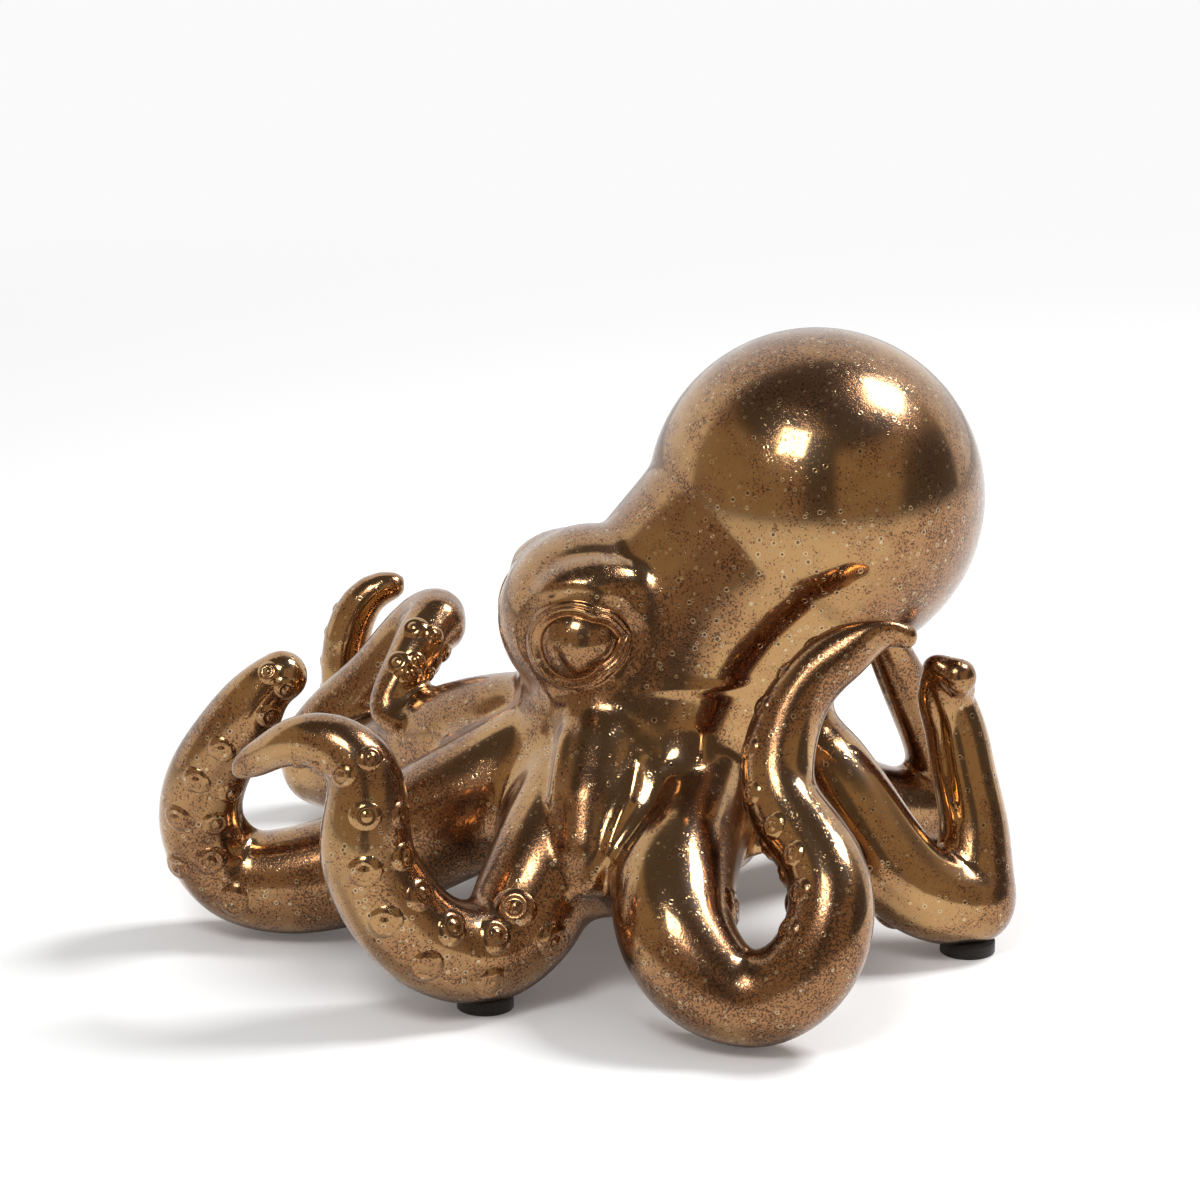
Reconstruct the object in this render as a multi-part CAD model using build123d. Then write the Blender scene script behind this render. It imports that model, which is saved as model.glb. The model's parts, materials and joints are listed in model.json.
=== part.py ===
"""Octopus figurine in glazed ceramic, standing on felt pads.

The octopus faces -Y, its own left side is +X and +Z is up. One hollow casting holds mantle, neck,
head and skirt. Eight arms join it, and every arm carries a double row of pressed clay suckers.
Eyeballs and eyelids are laid on the head, and round felt pads lie under the feet.
"""
from build123d import *
from dataclasses import dataclass
from math import asin, cos, degrees, radians, sin, sqrt
import os

# Felt pads
PAD_RADIUS = 6.35
PAD_THICKNESS = 3.0
FOOT_FLAT = 0.8

# Body casting: wall, clearances and the hole that lets steam out in the kiln
WALL = 5.0
HEAD_WALL = 8.0
VENT_RADIUS = 1.5
FIT_GAP = 0.15
OVERRUN = 1.0

# Mantle, a ball behind and above the skirt
MANTLE_RADIUS = 38.6
MANTLE_BACK = 41.4
MANTLE_HEIGHT = 101.6

# Skirt, the foot of the trunk where the arms set out
SKIRT_WIDTH = 66.0
SKIRT_DEPTH = 68.0
SKIRT_BASE = 18.0

# Trunk from skirt to mantle: how far up the line, offset back, width, depth, lean
# Shares: height and set-back of the mantle centre, skirt width, skirt depth, full lean
TRUNK_LEAN_ANGLE = 36.0
TRUNK_SHARES = [
    (0.00, 0.00, 0.56, 0.56, 0.00),
    (0.06, 0.00, 0.86, 0.84, 0.00),
    (0.20, 0.00, 1.00, 0.97, 0.00),
    (0.38, 0.09, 0.97, 0.97, 0.45),
    (0.60, 0.30, 0.90, 0.98, 1.00),
    (0.80, 0.64, 0.99, 0.99, 1.00),
    (0.95, 0.93, 1.06, 1.04, 1.00),
]

# Head, brows and the fold of skin between the second and third left arms
HEAD_WIDTH = 44.0
HEAD_LENGTH = 44.0
HEAD_DEPTH = 42.0
HEAD_FORWARD = 11.0
HEAD_HEIGHT = 77.0
BROW_LENGTH = 30.0
BROW_THICKNESS = 19.0
BROW_SPREAD = 13.5
BROW_FORWARD = 14.0
BROW_HEIGHT = 85.0
FOLD_RADIUS = 17.0
FOLD_REACH = 41.0
FOLD_HEIGHT = 44.0
FOLD_ANGLE = -25.0
FOLD_SHARES = [(0.30, 1.00, 1.00), (0.70, 0.74, 0.80), (0.92, 0.56, 0.50)]

# Eyes
EYE_RADIUS = 12.0
EYE_SEAT = 3.0
EYE_SPREAD = 13.0
EYE_FORWARD = 16.6
EYE_HEIGHT = 76.0
EYE_TURN_ANGLE = -22.0
EYE_LIFT_ANGLE = 3.0
EYE_BACKING = 3.0
LID_THICKNESS = 2.0
LID_OPENING_LENGTH = 20.4
LID_OPENING_HEIGHT = 15.6

# Suckers: size and pitch follow the arm's radius at each place
SUCKER_RADIUS_SHARE = 0.28
SUCKER_PITCH_SHARE = 1.05
SUCKER_RIM_SHARE = 0.30
SUCKER_DOME_SHARE = 0.62
SUCKER_CROWN_SHARE = 0.55
SUCKER_ROW_ANGLE = 29.0
SUCKER_SEAT_GAP = 0.3
SUCKER_BEND_SHARE = 0.45
SUCKER_END_SHARE = 0.92
SUCKER_FLOOR_GAP = 0.5

# Arms: sections along an arm, and the height of an arm without a pad over the floor
ARM_SECTIONS = 18
FOOT_STEPS = 4
BARE_SOLE = 1.0
ELBOW_SHARE = 1.02

# Each arm has a bearing, a reach, a rise and a root radius, then its route. Route shares are the
# way out and aside over the reach, the underside's height over the rise, and the radius over the
# root radius. Face shares are the place along the arm and the way the suckers look there.
LEFT_1_ANGLE = -103.0
LEFT_1_REACH = 101.0
LEFT_1_RISE = 60.0
LEFT_1_RADIUS = 16.5
LEFT_1_SHARES = [
    (0.09, 0.00, 0.51, 0.97), (0.27, 0.03, 0.34, 1.00), (0.46, 0.03, 0.20, 0.91),
    (0.62, 0.01, 0.06, 0.82), (0.78, 0.01, 0.00, 0.76), (0.93, -0.01, 0.05, 0.67),
    (1.00, 0.00, 0.26, 0.60), (0.98, 0.03, 0.50, 0.56), (0.91, 0.06, 0.72, 0.51),
    (0.86, 0.07, 0.86, 0.44), (0.81, 0.07, 0.96, 0.36),
]
LEFT_1_FACE_SHARES = [(0.42, -0.2, -0.4, -1.0), (0.55, 0.2, -0.8, -0.7), (0.66, 0.8, -0.7, -0.2),
                      (0.78, 1.0, -0.1, 0.0), (1.00, 1.0, 0.6, 0.1)]

LEFT_2_ANGLE = -79.0
LEFT_2_REACH = 98.0
LEFT_2_RISE = 52.0
LEFT_2_RADIUS = 15.0
LEFT_2_SHARES = [
    (0.11, 0.04, 0.61, 1.00), (0.25, 0.16, 0.37, 1.00), (0.38, 0.26, 0.18, 0.91),
    (0.50, 0.30, 0.00, 0.80), (0.65, 0.31, 0.05, 0.75), (0.77, 0.28, 0.30, 0.73),
    (0.81, 0.26, 0.56, 0.68), (0.80, 0.25, 0.78, 0.60), (0.82, 0.22, 0.95, 0.51),
    (0.89, 0.15, 1.04, 0.41), (0.95, 0.07, 1.00, 0.31), (1.00, 0.00, 0.93, 0.18),
]
LEFT_2_FACE_SHARES = [(0.34, 1.0, 0.0, 0.2), (0.74, 1.0, 0.3, 0.0), (0.86, 0.2, 0.0, -1.0),
                      (1.00, 0.2, 0.0, -1.0)]

LEFT_3_ANGLE = 11.0
LEFT_3_REACH = 86.0
LEFT_3_RISE = 78.0
LEFT_3_RADIUS = 15.0
LEFT_3_SHARES = [
    (0.14, 0.08, 0.42, 1.00), (0.36, -0.05, 0.27, 1.00), (0.60, -0.20, 0.18, 0.93),
    (0.78, -0.24, 0.06, 0.83), (0.91, -0.13, 0.00, 0.71), (0.99, 0.00, 0.12, 0.67),
    (0.95, 0.07, 0.28, 0.63), (0.82, 0.08, 0.41, 0.59), (0.69, 0.06, 0.52, 0.56),
    (0.63, 0.09, 0.65, 0.53), (0.61, 0.15, 0.78, 0.48), (0.63, 0.25, 0.91, 0.41),
    (0.67, 0.34, 0.98, 0.33), (0.70, 0.41, 1.01, 0.20),
]
LEFT_3_FACE_SHARES = [(0.30, -0.3, 1.0, 0.0), (0.42, -0.5, 0.5, 0.9), (0.56, -0.5, -1.0, 0.5),
                      (0.80, -0.4, -1.0, 0.2), (1.00, -0.3, -0.5, -1.0)]

LEFT_4_ANGLE = 64.0
LEFT_4_REACH = 80.0
LEFT_4_RISE = 57.0
LEFT_4_RADIUS = 14.0
LEFT_4_SHARES = [
    (0.28, 0.06, 0.61, 1.00), (0.49, 0.01, 0.50, 0.88), (0.65, -0.05, 0.29, 0.81),
    (0.80, -0.06, 0.08, 0.76), (0.96, 0.02, 0.00, 0.72), (0.96, 0.08, 0.19, 0.62),
    (0.94, 0.13, 0.39, 0.55), (0.91, 0.16, 0.55, 0.53), (0.88, 0.18, 0.72, 0.51),
    (0.85, 0.16, 0.88, 0.44), (0.90, 0.09, 1.00, 0.32),
]
LEFT_4_ELBOW_ROWS = (4,)
LEFT_4_FACE_SHARES = [(0.34, -0.1, -0.3, -1.0), (0.50, -0.6, 0.5, -0.7), (0.70, -1.0, 0.3, 0.1),
                      (1.00, -1.0, 0.2, 0.4)]

RIGHT_4_ANGLE = 115.0
RIGHT_4_REACH = 95.0
RIGHT_4_RISE = 60.0
RIGHT_4_RADIUS = 13.0
RIGHT_4_SHARES = [
    (0.25, -0.04, 0.58, 1.00), (0.51, -0.01, 0.27, 0.96), (0.73, 0.02, 0.05, 0.85),
    (0.86, 0.01, 0.00, 0.77), (0.99, 0.00, 0.00, 0.69), (0.96, -0.03, 0.26, 0.59),
    (0.87, -0.03, 0.54, 0.49), (0.78, -0.03, 0.80, 0.40), (0.71, -0.03, 1.00, 0.26),
]
RIGHT_4_ELBOW_ROWS = (4,)
RIGHT_4_FACE_SHARES = [(0.34, -0.2, 0.0, -1.0), (0.56, -0.6, 1.0, -0.5), (0.75, -1.0, 0.2, 0.3),
                       (1.00, -1.0, 0.0, 0.4)]

RIGHT_3_ANGLE = 138.0
RIGHT_3_REACH = 102.0
RIGHT_3_RISE = 44.0
RIGHT_3_RADIUS = 14.0
RIGHT_3_SHARES = [
    (0.09, 0.05, 0.84, 1.00), (0.31, 0.13, 0.60, 0.96), (0.52, 0.32, 0.26, 0.89),
    (0.75, 0.34, 0.00, 0.81), (0.91, 0.26, 0.02, 0.74), (0.96, 0.11, 0.25, 0.66),
    (0.87, 0.03, 0.55, 0.57), (0.76, 0.07, 0.80, 0.47), (0.74, 0.16, 0.95, 0.34),
]
RIGHT_3_FACE_SHARES = [(0.34, 0.0, 0.0, -1.0), (0.56, -0.6, 0.4, -0.7), (0.75, -1.0, 0.4, 0.0),
                       (1.00, -1.0, 0.0, 0.3)]

RIGHT_2_ANGLE = -152.0
RIGHT_2_REACH = 120.0
RIGHT_2_RISE = 56.0
RIGHT_2_RADIUS = 14.0
RIGHT_2_SHARES = [
    (0.10, -0.03, 0.54, 1.00), (0.33, -0.08, 0.42, 0.94), (0.56, -0.12, 0.23, 0.84),
    (0.76, -0.11, 0.04, 0.76), (0.89, -0.08, 0.00, 0.69), (0.94, -0.04, 0.19, 0.57),
    (0.92, -0.03, 0.42, 0.47), (0.93, -0.03, 0.62, 0.39), (0.92, -0.05, 0.80, 0.33),
    (0.90, -0.08, 0.92, 0.27), (0.87, -0.12, 0.98, 0.16),
]
RIGHT_2_FACE_SHARES = [(0.34, 0.0, 0.0, -1.0), (0.58, -0.9, -0.6, -0.3), (0.78, -1.0, -0.4, 0.0),
                       (1.00, -1.0, -0.3, 0.3)]

RIGHT_1_ANGLE = -141.0
RIGHT_1_REACH = 97.0
RIGHT_1_RISE = 51.0
RIGHT_1_RADIUS = 15.0
RIGHT_1_SHARES = [
    (0.19, 0.06, 0.62, 0.90), (0.40, 0.07, 0.53, 0.90), (0.63, 0.03, 0.37, 0.84),
    (0.82, 0.00, 0.20, 0.79), (0.99, -0.02, 0.18, 0.72), (0.99, -0.06, 0.33, 0.67),
    (0.92, -0.10, 0.50, 0.65), (0.84, -0.13, 0.72, 0.60), (0.77, -0.14, 0.92, 0.53),
    (0.69, -0.09, 1.00, 0.48), (0.68, -0.01, 0.93, 0.44), (0.68, 0.07, 0.82, 0.36),
    (0.68, 0.11, 0.76, 0.30), (0.61, 0.14, 0.73, 0.20),
]
RIGHT_1_ELBOW_ROWS = (4, 9)
RIGHT_1_FACE_SHARES = [(0.30, 0.0, 0.0, -1.0), (0.52, -0.8, -0.4, -0.3), (0.68, 0.5, 0.7, -0.5),
                       (0.82, 1.0, 0.5, 0.0), (1.00, 1.0, 0.3, 0.1)]


@dataclass
class Arm:
    """One arm: where it goes, how thick it is and which way its suckers look."""

    name: str
    angle: float
    reach: float
    rise: float
    radius: float
    route_shares: list
    face_shares: list
    sole: float
    padded: bool
    elbows: tuple = ()


SOLE = PAD_THICKNESS - FOOT_FLAT
ARMS = [
    Arm("left_1", LEFT_1_ANGLE, LEFT_1_REACH, LEFT_1_RISE, LEFT_1_RADIUS,
        LEFT_1_SHARES, LEFT_1_FACE_SHARES, BARE_SOLE, False),
    Arm("left_2", LEFT_2_ANGLE, LEFT_2_REACH, LEFT_2_RISE, LEFT_2_RADIUS,
        LEFT_2_SHARES, LEFT_2_FACE_SHARES, SOLE, True),
    Arm("left_3", LEFT_3_ANGLE, LEFT_3_REACH, LEFT_3_RISE, LEFT_3_RADIUS,
        LEFT_3_SHARES, LEFT_3_FACE_SHARES, BARE_SOLE, False),
    Arm("left_4", LEFT_4_ANGLE, LEFT_4_REACH, LEFT_4_RISE, LEFT_4_RADIUS,
        LEFT_4_SHARES, LEFT_4_FACE_SHARES, SOLE, True, LEFT_4_ELBOW_ROWS),
    Arm("right_4", RIGHT_4_ANGLE, RIGHT_4_REACH, RIGHT_4_RISE, RIGHT_4_RADIUS,
        RIGHT_4_SHARES, RIGHT_4_FACE_SHARES, SOLE, True, RIGHT_4_ELBOW_ROWS),
    Arm("right_3", RIGHT_3_ANGLE, RIGHT_3_REACH, RIGHT_3_RISE, RIGHT_3_RADIUS,
        RIGHT_3_SHARES, RIGHT_3_FACE_SHARES, SOLE, True),
    Arm("right_2", RIGHT_2_ANGLE, RIGHT_2_REACH, RIGHT_2_RISE, RIGHT_2_RADIUS,
        RIGHT_2_SHARES, RIGHT_2_FACE_SHARES, SOLE, True),
    Arm("right_1", RIGHT_1_ANGLE, RIGHT_1_REACH, RIGHT_1_RISE, RIGHT_1_RADIUS,
        RIGHT_1_SHARES, RIGHT_1_FACE_SHARES, SOLE, False, RIGHT_1_ELBOW_ROWS),
]


def between(places, share):
    """Values at a share of the way, straight between listed (place, values...) rows."""
    if share <= places[0][0]:
        return places[0][1:]
    for low, high in zip(places, places[1:]):
        if share <= high[0]:
            part = (share - low[0]) / (high[0] - low[0])
            return tuple(a + (b - a) * part for a, b in zip(low[1:], high[1:]))
    return places[-1][1:]


class Tube:
    """A round limb along smooth spans through hand-placed points, with an elbow between spans."""

    def __init__(self, points, radii, elbows=()):
        cuts = [0, *elbows, len(points) - 1]
        self.spans = [Spline(*points[start:end + 1]) for start, end in zip(cuts, cuts[1:])]
        self.length = sum(span.length for span in self.spans)
        steps = [0.0]
        for start, end in zip(points, points[1:]):
            steps.append(steps[-1] + (Vector(*end) - Vector(*start)).length)
        self.radii = [(step / steps[-1], radius) for step, radius in zip(steps, radii)]

    def radius_at(self, share):
        """Radius of the limb at a share of its length."""
        return between(self.radii, share)[0]

    def span_at(self, share):
        """Span that holds a share of the length, and the share of that span."""
        gone = 0.0
        for span in self.spans:
            part = span.length / self.length
            if share <= gone + part or span is self.spans[-1]:
                return span, min(1.0, max(0.0, (share - gone) / part))
            gone += part

    def place(self, share):
        """Point of the centre line at a share of its length."""
        span, part = self.span_at(share)
        return span @ part

    def along(self, share):
        """Direction of the centre line at a share of its length."""
        span, part = self.span_at(share)
        return span % part

    def at_elbow(self, share):
        """Whether an elbow lies within the limb's radius of a share of its length."""
        gaps = [(self.place(share) - span @ 1).length for span in self.spans[:-1]]
        return any(gap < self.radius_at(share) for gap in gaps)

    def solid(self, sections):
        """Loft each span through round sections, with a ball at each elbow and half a ball at the tip."""
        form = None
        gone = 0.0
        for span in self.spans:
            part = span.length / self.length
            steps = max(2, round(sections * part))
            side = Vector(0, 0, 1).cross(span % 0)
            wires = []
            for step in range(steps + 1):
                along = span % (step / steps)
                side = (side - along * side.dot(along)).normalized()
                plane = Plane(origin=span @ (step / steps), x_dir=side, z_dir=along)
                wires.append(Wire.make_circle(self.radius_at(gone + part * step / steps), plane))
            loft = Solid.make_loft(wires)
            gone += part
            if span is self.spans[-1]:
                end = Plane(span @ 1, z_dir=span % 1)
                loft = loft.fuse(Solid.make_sphere(self.radius_at(gone), end, 0, 90))
            else:
                loft = loft.fuse(Solid.make_sphere(self.radius_at(gone) * ELBOW_SHARE, Plane(span @ 1)))
            form = loft if form is None else form.fuse(loft)
        return form


def arm_tube(arm):
    """Line and radii of an arm, from the middle of the skirt to the arm's tip."""
    out = Vector(cos(radians(arm.angle)), sin(radians(arm.angle)), 0)
    aside = Vector(-out.Y, out.X, 0)
    points = []
    radii = []
    for out_share, aside_share, lift_share, thick_share in arm.route_shares:
        radius = arm.radius * thick_share
        height = arm.sole + arm.rise * lift_share + radius
        place = out * (arm.reach * out_share) + aside * (arm.reach * aside_share)
        points.append((place.X, place.Y, height))
        radii.append(radius)
    return Tube(points, radii, arm.elbows)


def ball(width, length, depth, place):
    """Ellipsoid of the given full sizes."""
    return Pos(*place) * scale(Sphere(1), by=(width / 2, length / 2, depth / 2))


def trunk(wall):
    """Trunk from the skirt's base up to the mantle, drawn in by a wall."""
    wires = []
    rise = MANTLE_HEIGHT - SKIRT_BASE - wall
    for up_share, back_share, width_share, depth_share, lean_share in TRUNK_SHARES:
        middle = (0, MANTLE_BACK * back_share, SKIRT_BASE + wall + rise * up_share)
        lean = radians(TRUNK_LEAN_ANGLE * lean_share)
        plane = Plane(origin=middle, x_dir=(1, 0, 0), z_dir=(0, sin(lean), cos(lean)))
        half_width = SKIRT_WIDTH / 2 * width_share - wall
        half_depth = SKIRT_DEPTH / 2 * depth_share - wall
        wires.append(Wire.make_ellipse(half_width, half_depth, plane))
    return Solid.make_loft(wires)


def fold():
    """Fold of skin that hangs between the second and third left arms."""
    out = Vector(cos(radians(FOLD_ANGLE)), sin(radians(FOLD_ANGLE)), 0)
    points = []
    radii = []
    for out_share, height_share, thick_share in FOLD_SHARES:
        place = out * (FOLD_REACH * out_share)
        points.append((place.X, place.Y, FOLD_HEIGHT * height_share))
        radii.append(FOLD_RADIUS * thick_share)
    return Tube(points, radii).solid(ARM_SECTIONS // 2)


def body_outside():
    """Outer form of the casting, filled."""
    form = trunk(0) + Pos(0, MANTLE_BACK, MANTLE_HEIGHT) * Sphere(MANTLE_RADIUS)
    form += ball(HEAD_WIDTH, HEAD_LENGTH, HEAD_DEPTH, (0, -HEAD_FORWARD, HEAD_HEIGHT))
    for side in (1, -1):
        place = (side * BROW_SPREAD, -BROW_FORWARD, BROW_HEIGHT)
        form += ball(BROW_THICKNESS, BROW_LENGTH, BROW_THICKNESS, place)
    return form + fold()


def body_cavity():
    """Hollow inside the casting, with the steam hole through the belly."""
    form = trunk(WALL) + Pos(0, MANTLE_BACK, MANTLE_HEIGHT) * Sphere(MANTLE_RADIUS - WALL)
    sizes = [size - 2 * HEAD_WALL for size in (HEAD_WIDTH, HEAD_LENGTH, HEAD_DEPTH)]
    form += ball(*sizes, (0, -HEAD_FORWARD, HEAD_HEIGHT))
    backing = eye_socket(EYE_BACKING)
    form = form - backing - mirror(backing, Plane.YZ)
    depth = WALL + 2 * OVERRUN
    return form + Pos(0, 0, SKIRT_BASE + depth / 2 - OVERRUN) * Cylinder(VENT_RADIUS, depth)


def eye_plane():
    """Plane of the left eye: its origin is the eyeball's centre and its Z looks outwards."""
    turn = radians(EYE_TURN_ANGLE)
    lift = radians(EYE_LIFT_ANGLE)
    look = Vector(cos(turn) * cos(lift), sin(turn) * cos(lift), sin(lift))
    level = Vector(0, 0, 1).cross(look)
    return Plane(origin=(EYE_SPREAD, -EYE_FORWARD, EYE_HEIGHT), x_dir=level, z_dir=look)


def eyeball():
    """Left eyeball, a clay dome with a flat back."""
    return Solid.make_sphere(EYE_RADIUS, eye_plane(), degrees(asin(EYE_SEAT / EYE_RADIUS)), 90)


def eye_socket(wall=0):
    """Round flat-bottomed recess that the left eyeball lies in, grown by a wall."""
    radius = sqrt(EYE_RADIUS ** 2 - EYE_SEAT ** 2) + FIT_GAP + wall
    depth = EYE_RADIUS + LID_THICKNESS - EYE_SEAT + wall
    return eye_plane() * Pos(0, 0, EYE_SEAT - wall + depth / 2) * Cylinder(radius, depth)


def eyelid(head):
    """Left eyelid, a shell over the eyeball with an almond opening, seated on the head."""
    plane = eye_plane()
    outer = EYE_RADIUS + LID_THICKNESS
    shell = Solid.make_sphere(outer, plane, 0, 90) - plane * Sphere(EYE_RADIUS + FIT_GAP)
    half_length = LID_OPENING_LENGTH / 2
    half_height = LID_OPENING_HEIGHT / 2
    upper = ThreePointArc((-half_length, 0), (0, half_height), (half_length, 0))
    lower = ThreePointArc((half_length, 0), (0, -half_height), (-half_length, 0))
    opening = extrude(plane * make_face([upper, lower]), outer + OVERRUN, dir=plane.z_dir)
    return shell - opening - head


def sucker(plane, radius):
    """Pressed clay button: a flat rim and a domed middle."""
    rim = radius * SUCKER_RIM_SHARE
    dome = radius * SUCKER_DOME_SHARE
    rise = radius * SUCKER_CROWN_SHARE - rim
    ball_radius = (dome ** 2 + rise ** 2) / (2 * rise)
    middle = Plane(plane.origin + plane.z_dir * (rim + rise - ball_radius), plane.x_dir, plane.z_dir)
    dome_top = Solid.make_sphere(ball_radius, middle, degrees(asin(1 - rise / ball_radius)), 90)
    return Solid.make_cylinder(radius, rim, plane).fuse(dome_top)


def sucker_pair(arm, tube, share):
    """Two suckers side by side on the side of an arm that its faces name, but none in a tight bend."""
    limb = tube.radius_at(share)
    radius = limb * SUCKER_RADIUS_SHARE
    step = limb / tube.length
    along = tube.along(share)
    bend = (tube.along(share + step) - tube.along(share - step)) / (2 * limb)
    face = Vector(*between(arm.face_shares, share))
    face = (face - along * face.dot(along)).normalized()
    buttons = []
    for turn in (SUCKER_ROW_ANGLE, -SUCKER_ROW_ANGLE):
        look = face.rotate(Axis((0, 0, 0), along), turn)
        hollow = max(0, bend.dot(look))
        if limb * hollow > SUCKER_BEND_SHARE:
            continue
        lift = SUCKER_SEAT_GAP + radius ** 2 * hollow / 2 / (1 - limb * hollow)
        seat = tube.place(share) + look * (limb + lift)
        if seat.Z - radius > PAD_THICKNESS + SUCKER_FLOOR_GAP:
            buttons.append(sucker(Plane(origin=seat, x_dir=along, z_dir=look), radius))
    return buttons


def sucker_rows(arm, tube):
    """Double row of suckers along an arm, with its elbows and tip left bare."""
    buttons = []
    share = arm.face_shares[0][0]
    while share < SUCKER_END_SHARE:
        if not tube.at_elbow(share):
            buttons += sucker_pair(arm, tube, share)
        share += tube.radius_at(share) * SUCKER_PITCH_SHARE / tube.length
    return buttons


def felt_pad(arm, tube):
    """Round felt pad under the lowest point of an arm."""
    shares = [step / ARM_SECTIONS / FOOT_STEPS for step in range(ARM_SECTIONS * FOOT_STEPS)]
    foot = tube.place(min(shares, key=lambda share: tube.place(share).Z - tube.radius_at(share)))
    return Pos(foot.X, foot.Y, PAD_THICKNESS / 2) * Cylinder(PAD_RADIUS, PAD_THICKNESS)


def build():
    """All pieces by name, in the working frame on the floor under the skirt."""
    outside = body_outside()
    pieces = {}
    before = []
    for arm in ARMS:
        tube = arm_tube(arm)
        limb = tube.solid(ARM_SECTIONS)
        for other in [outside] + before:
            limb = limb - other
        if arm.padded:
            limb = split(limb, bisect_by=Plane.XY.offset(PAD_THICKNESS), keep=Keep.TOP)
            pieces["felt_pad_" + arm.name] = felt_pad(arm, tube)
        pieces["arm_" + arm.name] = limb
        pieces["suckers_" + arm.name] = Compound(sucker_rows(arm, tube))
        before = ([pieces["arm_" + ARMS[0].name]] if arm is not ARMS[0] else []) + [limb]
    socket = eye_socket()
    pieces["mantle_and_head"] = outside - body_cavity() - socket - mirror(socket, Plane.YZ)
    pieces["eyeball_left"] = eyeball()
    pieces["eyelid_left"] = eyelid(outside)
    for name in ("eyeball", "eyelid"):
        pieces[name + "_right"] = mirror(pieces[name + "_left"], Plane.YZ)
    return pieces


def main():
    """Write every piece, with the origin under the middle of the figurine."""
    os.makedirs("parts", exist_ok=True)
    pieces = build()
    box = Compound([piece for piece in pieces.values()]).bounding_box()
    shift = Pos(-box.center().X, -box.center().Y, -box.min.Z)
    for name, piece in pieces.items():
        export_step(shift * piece, f"parts/{name}.step")


main()
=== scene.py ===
"""Octopus figurine in lustre-glazed stoneware, dressed over its CAD frame and set in a soft-lit studio.

The octopus faces -Y, its own left side is +X and +Z is up. Lengths are in millimetres where a name ends
in _mm and in metres elsewhere.
"""

import json
import logging
import math
from dataclasses import dataclass, field
from enum import Enum

import bmesh
import bpy
import numpy as np
from mathutils import Matrix, Vector
from mathutils.bvhtree import BVHTree
from mathutils.kdtree import KDTree

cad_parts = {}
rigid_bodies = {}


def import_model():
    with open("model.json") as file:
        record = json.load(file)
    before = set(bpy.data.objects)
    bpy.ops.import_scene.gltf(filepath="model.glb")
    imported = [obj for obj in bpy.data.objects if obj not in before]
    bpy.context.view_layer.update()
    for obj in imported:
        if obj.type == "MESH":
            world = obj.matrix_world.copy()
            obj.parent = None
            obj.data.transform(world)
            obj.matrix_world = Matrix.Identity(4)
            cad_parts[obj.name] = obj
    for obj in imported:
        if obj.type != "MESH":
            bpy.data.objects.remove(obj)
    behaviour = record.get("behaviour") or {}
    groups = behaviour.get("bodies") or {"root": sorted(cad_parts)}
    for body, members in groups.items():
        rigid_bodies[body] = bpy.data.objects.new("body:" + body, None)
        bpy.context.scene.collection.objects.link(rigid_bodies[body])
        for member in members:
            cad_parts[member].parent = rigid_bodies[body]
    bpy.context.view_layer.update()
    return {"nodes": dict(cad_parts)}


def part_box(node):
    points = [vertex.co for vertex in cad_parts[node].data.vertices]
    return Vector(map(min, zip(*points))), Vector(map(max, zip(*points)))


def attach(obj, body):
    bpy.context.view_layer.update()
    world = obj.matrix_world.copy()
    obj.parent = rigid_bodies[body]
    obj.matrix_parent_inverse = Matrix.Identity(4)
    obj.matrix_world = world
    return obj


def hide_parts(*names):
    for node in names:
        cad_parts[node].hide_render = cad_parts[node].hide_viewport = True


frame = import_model()

log = logging.getLogger("octopus")
MM = 0.001

# Distances at which points join: in a CAD mesh, at an open edge left in it, and in a turned button
WELD_MM = 0.002
CRACK_MM = 0.1
SEAM_MM = 0.01

Form = bmesh.types.BMesh
Material = bpy.types.Material
Mesh = bpy.types.Mesh
Socket = bpy.types.NodeSocket
Tree = bpy.types.NodeTree


class Slot(Enum):
    """Material slots of the record."""

    GLAZE = "bronze_glaze"
    FELT = "felt"


class Arm(Enum):
    """The eight arms, by the names of their CAD nodes."""

    LEFT_1 = "left_1"
    LEFT_2 = "left_2"
    LEFT_3 = "left_3"
    LEFT_4 = "left_4"
    RIGHT_4 = "right_4"
    RIGHT_3 = "right_3"
    RIGHT_2 = "right_2"
    RIGHT_1 = "right_1"


# Node types and settings that repeat, with the sockets of the mix node for two colours
MATH = "ShaderNodeMath"
PLUS = {"operation": "ADD"}
MINUS = {"operation": "SUBTRACT"}
TIMES = {"operation": "MULTIPLY"}
GREATER = {"operation": "MAXIMUM"}
UNSIGNED = {"operation": "ABSOLUTE"}
RANGE = "ShaderNodeMapRange"
SMOOTH = {"interpolation_type": "SMOOTHSTEP"}
NOISE = "ShaderNodeTexNoise"
MIX = "ShaderNodeMix"
COLOURS = {"data_type": "RGBA"}
MIX_SHARE, MIX_FIRST, MIX_SECOND, MIX_RESULT = 0, 6, 7, 2


def linear(code: str) -> tuple[float, float, float, float]:
    """Turn an sRGB hex colour into linear light.

    Args:
        code: Six hex digits, such as "B08A4E".

    Returns:
        Red, green, blue and an alpha of one.
    """
    parts = [int(code[i:i + 2], 16) / 255 for i in (0, 2, 4)]
    turned = [c / 12.92 if c <= 0.04045 else ((c + 0.055) / 1.055) ** 2.4 for c in parts]
    return turned[0], turned[1], turned[2], 1.0


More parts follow.
